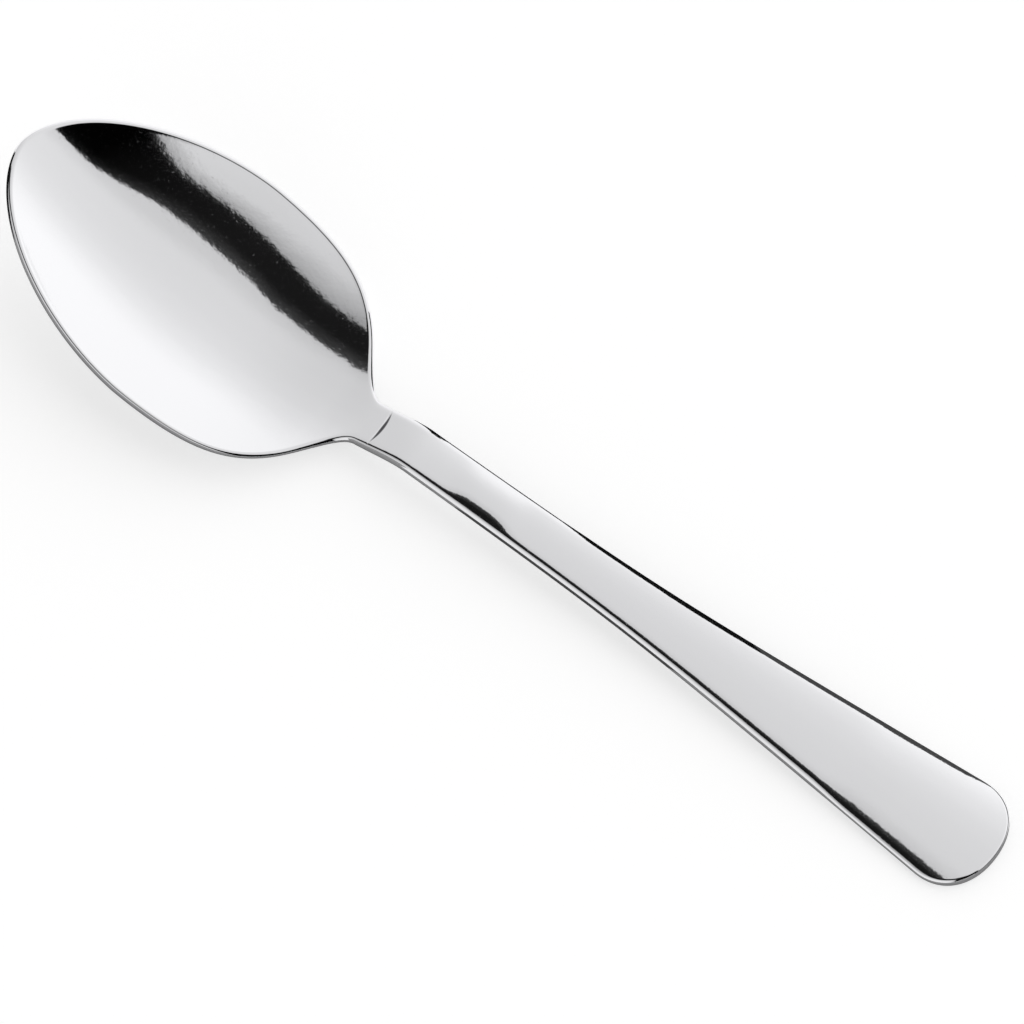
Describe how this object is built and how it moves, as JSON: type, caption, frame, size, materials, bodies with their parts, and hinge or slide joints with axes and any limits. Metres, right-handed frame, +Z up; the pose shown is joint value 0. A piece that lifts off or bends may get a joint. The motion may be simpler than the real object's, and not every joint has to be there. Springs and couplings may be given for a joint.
{
  "type": "serving spoon",
  "caption": "Plain polished stainless steel serving spoon: an oval pressed bowl with a slightly pointed tip, a narrow neck and a flat handle that flares to a rounded end.",
  "frame": {"origin": "on the table under the middle of the spoon's length, with the spoon at rest on the bowl's underside and the end of the handle", "axes": "+X from the bowl's tip along the spoon to the end of the handle, +Y across it, +Z up out of the open bowl"},
  "size_m": [0.205, 0.0488, 0.0207],
  "materials": {
    "polished_steel": "polished"
  },
  "bodies": {
    "root": {"bowl": "polished_steel", "handle": "polished_steel"}
  },
  "joints": []
}
